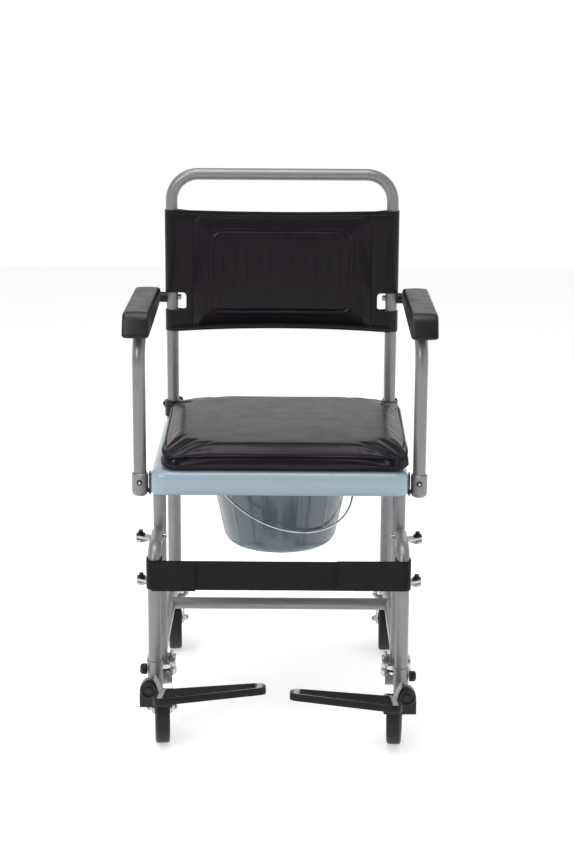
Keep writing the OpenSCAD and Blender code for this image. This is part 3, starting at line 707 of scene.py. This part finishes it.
def join_stitches(name, pairs, body, finish):
    """Short rounded threads, one for each pair of end points, as one piece."""
    points, faces = [], []
    for start, end in pairs:
        start, end = Vector(start), Vector(end)
        along = (end - start).normalized()
        side = along.orthogonal().normalized()
        other = along.cross(side)
        base = len(points)
        for share, size in THREAD:
            for a in np.linspace(0, 2 * math.pi, THREAD_SIDES, endpoint=False):
                spoke = math.cos(a) * side + math.sin(a) * other
                points.append(start.lerp(end, share) + THREAD_R * size * spoke)
        faces += [tuple(base + k for k in face) for face in ring_faces(len(THREAD), THREAD_SIDES)]
    stand_in(add_mesh(name, points, faces, finish), body, finish)


# ---- arm pads
PAD_EDGE, PAD_CROWN = 0.006, 0.0008  # rounding of the long edges, and how far the middle domes


def pad_side_view():
    """Closed side outline of an arm pad as (y, z), in the CAD source's y. It hollows over the tube's bend."""
    under = arc((-0.134, 0.668), 0.0614, 118.5, 90, 14)
    front = filleted([(-0.2165, 0.7205, 0.006), (-0.196, 0.7625, 0.022), (0.0905, 0.7575, 0.008),
                      (0.0905, 0.7296, 0.004)], 12)
    return [tuple(p) for p in front] + [(y, z) for y, z in reversed(under)]


def make_arm_pads():
    outline = resampled([(y + MID_Y, z) for y, z in pad_side_view()], 260)
    tangent = np.roll(outline, -1, axis=0) - np.roll(outline, 1, axis=0)
    tangent /= np.linalg.norm(tangent, axis=1, keepdims=True)
    normal = np.stack([tangent[:, 1], -tangent[:, 0]], axis=1)
    normal *= np.sign(((outline - outline.mean(axis=0)) * normal).sum())
    for name, _ in SIDES:
        low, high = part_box(f"{name}_arm_pad")
        middle, half = (low.x + high.x) / 2, (high.x - low.x) / 2
        flat = half - PAD_EDGE
        edge = [(-half + PAD_EDGE * (1 - math.cos(a)), PAD_EDGE * (1 - math.sin(a)))
                for a in np.radians(np.linspace(0, 90, 8))]
        crown = [(x, -PAD_CROWN * (1 - (x / flat) ** 2)) for x in np.linspace(-flat, flat, 9)[1:-1]]
        rings = []
        for x, inset in edge + crown + [(-x, inset) for x, inset in reversed(edge)]:
            rings.append([(middle + x, y, z) for y, z in outline - normal * inset])
        pad = solid(f"{name}_arm_pad_skin", rings, "arm_pad", 0.5, f"{name}_arm", f"{name}_arm_pad")


# ---- seat board and pan
HOLE_HALF_W, HOLE_STRAIGHT = 0.105, 0.025
BOARD_ROUND = 0.013
EAR_TURN, EAR_OUT, EAR_DOWN = 38, 0.1245, 0.0095
RIBS, RIB_UP, RIB_WIDTH = 12, 0.0011, 0.0026


def reach_at(points, centre, theta):
    """How far an outline lies from centre in each direction of theta."""
    offset = np.array([tuple(p) for p in points]) - centre
    angle = np.arctan2(offset[:, 1], offset[:, 0])
    order = np.argsort(angle)
    angle, radius = angle[order], np.hypot(*offset.T)[order]
    angle = np.concatenate([angle - 2 * math.pi, angle, angle + 2 * math.pi])
    return np.interp(theta, angle, np.concatenate([radius] * 3))


def make_seat_board():
    """A shell with a rolled edge, down into the oval opening and back under the deck."""
    low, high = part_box("seat_board")
    count = 360
    theta = np.linspace(-math.pi, math.pi, count, endpoint=False)
    heading = np.stack([np.cos(theta), np.sin(theta)], axis=1)
    centre = np.array((low + high)[:2]) / 2
    hole = [(HOLE_HALF_W * math.cos(a),
             MID_Y + HOLE_HALF_W * math.sin(a) + (HOLE_STRAIGHT if math.sin(a) > 0 else -HOLE_STRAIGHT))
            for a in np.linspace(0, 2 * math.pi, 720, endpoint=False)]
    hole_reach = reach_at(hole, centre, theta)

    def outer(inset, z, corner):
        a, b = inset_box(low, high, inset)
        corners = [(a.x, a.y, corner), (b.x, a.y, corner), (b.x, b.y, corner), (a.x, b.y, corner)]
        reach = reach_at(resampled(filleted(corners, 24), 1200), centre, theta)
        return ring(reach, z)

    def ring(reach, z):
        return [(*(centre + length * way), z) for length, way in zip(reach, heading)]

    deck = [(0.0032, low.z + 0.0006, 0.024), (0.0008, low.z, 0.026), (0, low.z + 0.0014, 0.026),
            (0, high.z - 0.019, 0.028)]
    deck += [(BOARD_ROUND * (1 - math.cos(a)), high.z - 0.0145 + BOARD_ROUND * math.sin(a), 0.028)
             for a in np.radians(np.linspace(8, 82, 8))]
    deck += [(0.022, high.z - 0.0004, 0.026), (0.034, high.z, 0.03)]
    opening = [(0.02, 0.0005), (0.008, 0.001), (0.003, 0.003), (0, 0.007), (0, 0.019), (0.001, 0.022),
               (0.003, 0.022), (0.0032, 0.008), (0.02, 0.0045)]
    under = [(0.04, high.z - 0.0045, 0.02), (0.016, high.z - 0.0055, 0.022), (0.0075, high.z - 0.013, 0.022),
             (0.0034, high.z - 0.022, 0.022), (0.0034, low.z + 0.004, 0.024)]
    rings = [outer(*level) for level in deck]
    rings += [ring(hole_reach + grow, high.z - down) for grow, down in opening]
    rings += [outer(*level) for level in under]
    solid("seat_board_shell", rings, "seat_plastic", None, "frame", "seat_board", loop=True)


def make_pan():
    """The pan with its lip and ribbed wall, and the two ears that carry the bail."""
    low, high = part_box("pan")
    middle = (low + high) / 2
    centre = Vector((middle.x, middle.y, 0))
    rim, top, base = high.x - middle.x, high.z, low.z
    outer = [(0.001, base + 0.003), (0.06, base + 0.003), (0.066, base), (0.078, base)]
    outer += [(0.078 + 0.0262 * math.sin(a), base + 0.0272 * (1 - math.cos(a)))
              for a in np.radians(np.linspace(12, 82, 8))]
    outer += [(0.1066, base + 0.036), (0.11, base + 0.053), (0.114, base + 0.072), (0.118, base + 0.09),
              (0.1225, base + 0.112), (0.1265, base + 0.132), (0.1283, top - 0.0045)]
    lip = [(0.13, top - 0.0038), (rim - 0.0012, top - 0.0036), (rim, top - 0.0024),
           (rim - 0.0004, top - 0.0006), (rim - 0.002, top), (0.1285, top), (0.1268, top - 0.0014)]
    inner = [(r - 0.0026, z + 0.001) for r, z in reversed(outer[4:-1])]
    inner += [(0.07, base + 0.0056), (0.001, base + 0.0056)]

    def wobble(a, radius, height):
        """Upright ribs on the wall, which fade out towards the base."""
        if not 0.1 < radius < 0.1282 or height > top - 0.004:
            return 0
        fade = min(1, max(0, (height - base - 0.016) / 0.03))
        pitch = 2 * math.pi / RIBS
        share = (a / pitch) % 1
        return RIB_UP * fade * hump(min(share, 1 - share) * pitch * radius, RIB_WIDTH)

    rings = revolve(outer + lip + inner, centre, UP, 288, wobble)
    solid("pan_bowl", rings, "pan_plastic", 0.9, "pan", "pan")
    ear = [(0.0054, 0), (0.0054, 0.0148), (0.0048, 0.0158), (0.0024, 0.016), (0.0019, 0.0154),
           (0.0019, 0.006)]
    for name, turn in (("left", EAR_TURN + 180), ("right", EAR_TURN)):
        heading = Vector((math.cos(math.radians(turn)), math.sin(math.radians(turn)), 0))
        at = centre + heading * EAR_OUT + Vector((0, 0, top - EAR_DOWN))
        made = loft(f"pan_ear_{name}", revolve(ear, at, heading, 32), "pan_plastic")
        smooth_by_angle(made, 0.9)
        stand_in(made, "pan", "pan_plastic")


# ---- calf straps
STRAP_T = 0.0019
LOOP_BEHIND = 0.0095
FLAP_ENDS = {"left": 0.07, "right": -0.112}  # how far each flap reaches from its tube's middle


def strap_loop(x, y, radius, behind):
    """Plan view of a strap's loop round a hanger tube, starting and ending in front of it."""
    loop = [(x, y - radius)]
    loop += [(x + px, y + py) for px, py in arc((0, 0), radius, -80, 0, 8)]
    loop += [(x + px, y + behind + py) for px, py in arc((0, 0), radius, 0, 180, 16)]
    loop += [(x + px, y + py) for px, py in arc((0, 0), radius, 180, 262, 8)]
    return loop


def make_straps():
    for name, side in SIDES:
        low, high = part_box(f"{name}_calf_strap")
        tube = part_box(f"{name}_hanger_tube")
        x, y = (tube[0].x + tube[1].x) / 2, tube[0].y + TUBE_R  # the upright's own middle
        radius = TUBE_R + 0.0003 + STRAP_T / 2
        loop = strap_loop(x, y, radius, LOOP_BEHIND)
        band_end = high.x if side < 0 else low.x
        if side > 0:
            loop = [(2 * x - px, py) for px, py in loop]
        band_y = y - radius
        band = [(px, band_y) for px in np.linspace(x, band_end, 90)[1:]]
        path = list(reversed(loop)) + band
        strap = ribbon(f"{name}_calf_strap_webbing", path, low.z, high.z, STRAP_T)
        stand_in(strap, f"{name}_hanger", "webbing", f"{name}_calf_strap")
        flap_end = x + FLAP_ENDS[name]
        flap = [(px, band_y - STRAP_T * 1.02) for px in np.linspace(x + side * 0.004, flap_end, 30)]
        shift = side * 0.0016
        layer = ribbon(f"{name}_calf_strap_flap", flap, low.z + shift, high.z + shift, STRAP_T * 0.9)
        stand_in(layer, f"{name}_hanger", "webbing")


def ribbon(name, path, low, high, thick):
    """Webbing on edge along a plan path, with faint ripples."""
    rows = 13
    points = []
    for v in np.linspace(0, 1, rows):
        for x, y in path:
            ripple = 0.00035 * noise.noise(Vector((x * 22, 0.4, v * 2)))
            lift = 0.0007 * noise.noise(Vector((x * 6, 2.2, 0)))
            points.append((x, y + ripple, low + v * (high - low) + lift * (2 * v - 1)))
    made = add_mesh(name, points, grid_faces(rows, len(path)), "webbing")
    thicken(made, thick, 0)
    return apply_modifiers(made)


# ---- footplates
PLATE_INNER, PLATE_OUTER, PLATE_DEEP, PLATE_SHALLOW = 0.022, 0.204, 0.1, 0.06
PLATE_T = 0.0095
PLATE_PIVOT, PLATE_Y, PLATE_ROLL, PLATE_PITCH = 0.174, -0.335, 4.4, -11
HUB_X, HUB_Y, HUB_DOWN = 0.22, -0.3325, 0.045
MAT_UP, RIB_R, RIB_GAP, MAT_IN = 0.0018, 0.0011, 0.0065, 0.016
STOP_BLOCK_DOWN, STOP_BLOCK_Y = 0.0551, -0.3075
BUMPER_MIDDLE = np.array([0.113, -0.04])


def plate_frame(side, hub_z):
    """Takes a right-hand plate's own plane to its place, mirrored for the left."""
    right = (Matrix.Translation((PLATE_PIVOT, MID_Y + PLATE_Y, hub_z + 0.001))
             @ Matrix.Rotation(math.radians(PLATE_ROLL), 4, "Y")
             @ Matrix.Rotation(math.radians(PLATE_PITCH), 4, "X")
             @ Matrix.Translation((-PLATE_PIVOT, 0, 0)))
    return Matrix.Scale(side, 4, (1, 0, 0)) @ right


def plate_front(x):
    share = (x - PLATE_INNER) / (PLATE_OUTER - PLATE_INNER)
    return -(PLATE_SHALLOW + (PLATE_DEEP - PLATE_SHALLOW) * share)


def plate_outline(inset, radius, count):
    inner, outer = PLATE_INNER + inset, PLATE_OUTER - inset
    corners = [(inner, -inset, radius), (outer, -inset, radius),
               (outer, plate_front(PLATE_OUTER) + inset, radius),
               (inner, plate_front(PLATE_INNER) + inset, radius)]
    return resampled(filleted(corners, 12), count)


def soft_slab(name, piece, levels, place, finish, *nodes):
    """A slab on the plate's plane from (inset, corner, height) levels."""
    rings = [[place @ Vector((x, y, z)) for x, y in plate_outline(inset, radius, 160)]
             for inset, radius, z in levels]
    solid(f"{name}_{piece}", rings, finish, 0.7, f"{name}_footplate", *nodes)


def make_footplates():
    for name, side in SIDES:
        hub_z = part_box(f"{name}_foot_sleeve")[1].z - HUB_DOWN
        place = plate_frame(side, hub_z)
        soft_slab(name, "footplate_tray",
                  [(0.004, 0.01, -PLATE_T), (0.001, 0.012, -PLATE_T + 0.0012), (0, 0.012, -PLATE_T + 0.003),
                   (0, 0.012, -0.002), (0.0008, 0.012, -0.0006), (0.0025, 0.012, 0)], place, "plate_plastic")
        make_mat(name, place)
        make_hub(name, side, hub_z)


def make_mat(name, place):
    """Rubber mat with fine ribs across it, and a bumper along the front edge."""
    body = f"{name}_footplate"
    levels = [(0.013, 0.006, 0.0001), (0.0128, 0.006, 0.0012), (0.014, 0.006, MAT_UP)]
    soft_slab(name, "foot_mat_sheet", levels, place, "foot_mat", f"{name}_foot_mat")
    across = np.linspace(PLATE_INNER + MAT_IN, PLATE_OUTER - MAT_IN, 90)
    for i, y in enumerate(np.arange(-0.018, -0.092, -RIB_GAP)):
        inside = [x for x in across if plate_front(x) + MAT_IN < y]
        if len(inside) < 8:
            continue
        path = [place @ Vector((x, y, MAT_UP)) for x in np.linspace(inside[0], inside[-1], 24)]
        rib = sweep(f"{name}_foot_mat_rib_{i}", path, RIB_R, "foot_mat", sides=8)
        stand_in(rib, body, "foot_mat")
    edge = [p for p in plate_outline(0, 0.012, 240) if p[1] < -0.03]
    start = max(range(len(edge)), key=lambda i: np.linalg.norm(edge[i] - edge[i - 1]))
    edge = edge[start:] + edge[:start]
    under = -PLATE_T - 0.0006
    profile = filleted([(0.0, under, 0.002), (0.0026, under, 0.002), (0.0026, 0.0018, 0.0018),
                        (-0.0035, 0.0018, 0.001), (-0.0035, 0.0002, 0.0004), (0.0, 0.0002, 0.0004)], 5)
    rings = []
    for i, p in enumerate(edge):
        ahead, behind = edge[min(i + 1, len(edge) - 1)], edge[max(i - 1, 0)]
        along = (ahead - behind) / np.linalg.norm(ahead - behind)
        out = np.array([along[1], -along[0]])
        if out @ (p - BUMPER_MIDDLE) < 0:
            out = -out
        rings.append([place @ Vector((p[0] + out[0] * q.x, p[1] + out[1] * q.x, q.y)) for q in profile])
    solid(f"{name}_foot_bumper", rings, "foot_mat", 0.8, body)


def make_hub(name, side, hub_z):
    """Round hub with a recessed cap, and the heel wall that curls up behind it."""
    body = f"{name}_footplate"
    at = Vector((side * HUB_X, MID_Y + HUB_Y, hub_z))
    profile = [(0.0052, 0), (0.0153, 0), (0.0156, 0.001), (0.0156, 0.013), (0.0147, 0.0148),
               (0.0122, 0.015), (0.0112, 0.0142), (0.0105, 0.0118), (0.0068, 0.0112), (0.0062, 0.0128),
               (0.0046, 0.0132), (0.0005, 0.0132)]
    solid(f"{name}_foot_hub", revolve(profile, at, FORWARDS, 72), "black_plastic", 0.6, body)
    curve = [Vector(p) for p in (
        (-0.0125, 0.0235), (-0.0165, 0.016), (-0.0192, 0.0085), (-0.0212, 0.001),
        (-0.0252, -0.005), (-0.0315, -0.0082), (-0.04, -0.0086), (-0.048, -0.0076))]
    spine = [a.lerp(b, t) for a, b in zip(curve, curve[1:]) for t in (0, 0.5)] + [curve[-1]]
    rings = []
    for y, grow in ((-0.356, 0.0006), (-0.3552, 0.0014), (-0.335, 0.0014), (-0.3342, 0.0006)):
        outer, inner = [], []
        for i, p in enumerate(spine):
            along = (spine[min(i + 1, len(spine) - 1)] - spine[max(i - 1, 0)]).normalized()
            normal = Vector((-along.y, along.x))
            outer.append(p + normal * grow)
            inner.append(p - normal * grow)
        rings.append([(side * (HUB_X + 0.002 + p.x), MID_Y + y, hub_z + p.y) for p in outer + inner[::-1]])
    solid(f"{name}_footplate_heel", rings, "plate_plastic", 0.7, body, f"{name}_footplate")


def blacken_stop_blocks():
    """The block under each sleeve is a black moulding, so its faces get that finish."""
    for name, _ in SIDES:
        node = NODES[f"{name}_foot_sleeve"]
        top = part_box(f"{name}_foot_sleeve")[1].z - STOP_BLOCK_DOWN
        mesh = node.data
        mesh.materials.append(MATERIALS["black_plastic"])
        placed = [node.matrix_world @ v.co for v in mesh.vertices]
        for face in mesh.polygons:
            at = node.matrix_world @ face.center
            in_front = at.z < top and at.y < MID_Y + STOP_BLOCK_Y
            if in_front and all(placed[i].z < top + 0.002 for i in face.vertices):
                face.material_index = 1


# ---- casters and knobs
CASTERS = {"front_left": 185, "front_right": 175, "rear_left": 4, "rear_right": -2}
WHEEL_R, TRAIL = 0.0625, 0.0325
CLEAR_R, CLEAR_HALF_W = 0.064, 0.0152  # the room a crown leaves for its wheel
AXLE_END = 0.0225
FRONT_RIM_Z, REAR_RIM_Z = 0.1165, 0.1245  # the rear crowns end above their brakes
GRIP_R, GRIP_T, GRIP_LOBES = 0.0205, 0.0142, 6
HEIGHT_GRIP_R, HEIGHT_GRIP_T, HEIGHT_GRIP_LOBES = 0.0088, 0.0128, 5
PIN_HEAD_R = 0.0024


def caster_frame(name):
    """The wheel's centre, and the directions of its axle and of its trail."""
    low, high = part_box(f"{name}_tyre")
    turn = math.radians(CASTERS[name])
    axle = Vector((math.cos(turn), math.sin(turn), 0))
    return (low + high) / 2, axle, Vector((-axle.y, axle.x, 0))


def make_tyres():
    """Tyres with fine grooves round the tread, rounded shoulders and a bead on each side."""
    side = [(0.04705, 0.0095), (0.0485, 0.0113), (0.0515, 0.0121), (0.0545, 0.0119), (0.0575, 0.0125),
            (0.06, 0.0119), (0.0617, 0.0104), (0.0624, 0.0086)]
    for groove in (0.0066, 0.0024):
        side += [(WHEEL_R, groove + 0.0008), (0.0618, groove + 0.0004), (0.0618, groove - 0.0004),
                 (WHEEL_R, groove - 0.0008)]
    profile = side + [(r, -w) for r, w in reversed(side)]
    for name in CASTERS:
        centre, axle, _ = caster_frame(name)
        rings = revolve(profile, centre, axle, 144)
        solid(f"{name}_tyre_rubber", rings, "tyre", 0.7, f"{name}_wheel", f"{name}_tyre", loop=True)


def make_caster_details():
    """Domed crown over each wheel's top and capped axle ends."""
    cap_profile = [(0.0046, 0), (0.0046, 0.0022), (0.0036, 0.0034), (0.0018, 0.0041), (0.0002, 0.0043)]
    for name in CASTERS:
        centre, axle, trail = caster_frame(name)
        swivel = centre - trail * TRAIL
        body = f"{name}_caster"
        rim = FRONT_RIM_Z if name.startswith("front") else REAR_RIM_Z
        waist = max(0.124, rim + 0.0005)
        profile = [(0.0205, 0.1292), (0.0238, 0.1286), (0.0262, 0.1268), (0.0272, waist), (0.0274, rim),
                   (0.0264, rim), (0.0262, waist - 0.0002), (0.0254, 0.126), (0.0205, 0.1276)]
        rings = revolve(profile, (swivel.x, swivel.y, 0), UP, 72)
        bell = loft(f"{name}_crown", rings, "caster_chrome", loop=True)
        fix_normals(bell)
        smooth_by_angle(bell, 0.9)
        cut_for_wheel(bell, centre, axle)
        stand_in(bell, body, "caster_chrome")
        for end, way in (("a", -axle), ("b", axle)):
            rings = revolve(cap_profile, centre + way * AXLE_END, way, 32)
            solid(f"{name}_axle_cap_{end}", rings, "zinc", None, body)


def cut_for_wheel(obj, centre, axle):
    """Cuts an opening for the wheel out of a caster's crown."""
    half = CLEAR_HALF_W
    block = [(0.0002, -half), (CLEAR_R, -half), (CLEAR_R, half), (0.0002, half)]
    cutter = loft("cutter", revolve(block, centre, axle, 96), "caster_chrome")
    fix_normals(cutter)
    add_cut(obj, cutter)
    apply_modifiers(obj)
    bpy.data.objects.remove(cutter)


def make_grip(knob, at, axis, radius, thick, lobes):
    """A rounded grip with lobes round its rim, in place of a knob's CAD node."""
    profile = [(0.34, 0), (0.9, 0.0008 / thick), (0.98, 0.0022 / thick), (1, 0.4), (0.97, 0.68),
               (0.86, 0.88), (0.6, 0.97), (0.42, 0.94), (0.3, 0.88), (0.02, 0.86)]

    def wobble(a, r, _):
        return 0.1 * radius * math.cos(lobes * a) * min(1, max(0, (r / radius - 0.6) / 0.3))

    rings = revolve([(radius * r, thick * h) for r, h in profile], at, axis, 96, wobble)
    solid(f"{knob}_grip", rings, "black_plastic", 0.8, knob, knob)


def make_arm_button_pins():
    """A bright pin in each arm's button, with a dark rim round it."""
    profile = [(0.001, 0.0098), (0.0049, 0.0098), (0.0049, 0.0024), (0.0043, 0.0012), (0.0026, 0.0008),
               (0.0022, 0.0002), (0.0012, 0.0), (0.0002, 0.0)]
    for name, _ in SIDES:
        button = f"{name}_arm_button"
        low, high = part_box(button)
        at = (low + high) / 2
        at.y = low.y
        pin = solid(f"{button}_pin", revolve(profile, at, BACKWARDS, 40), "zinc", 0.7, button, button)
        pin.data.materials.append(MATERIALS["black_plastic"])
        for face in pin.data.polygons:
            if math.hypot(face.center.x - at.x, face.center.z - at.z) > PIN_HEAD_R:
                face.material_index = 1


def make_knobs():
    """The back's clamping knobs, each with its shank, and the footrests' height knobs."""
    shank_profile = [(0.0029, 0), (0.0029, 0.0052), (0.008, 0.0052), (0.008, 0.0098)]
    for name, side in SIDES:
        knob = f"{name}_back_knob"
        low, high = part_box(knob)
        at = (low + high) / 2
        at.y = high.y - GRIP_T
        rings = revolve(shank_profile, at - Vector((0, 0.0095, 0)), BACKWARDS, 36)
        solid(f"{knob}_shank", rings, "black_plastic", 0.6, knob)
        make_grip(knob, at, BACKWARDS, GRIP_R, GRIP_T, GRIP_LOBES)
        knob = f"{name}_height_knob"
        low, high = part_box(knob)
        at = (low + high) / 2
        at.x = (high.x if side > 0 else low.x) - side * HEIGHT_GRIP_T
        make_grip(knob, at, (side, 0, 0), HEIGHT_GRIP_R, HEIGHT_GRIP_T, HEIGHT_GRIP_LOBES)


# ---- build
MATERIALS = {name: material(name, **look) for name, look in FINISHES.items()}
make_camera()
make_studio()
dress_cad_nodes()
make_cushion()
make_sling()
make_arm_pads()
make_seat_board()
make_pan()
make_straps()
make_footplates()
blacken_stop_blocks()
make_tyres()
make_caster_details()
make_arm_button_pins()
make_knobs()
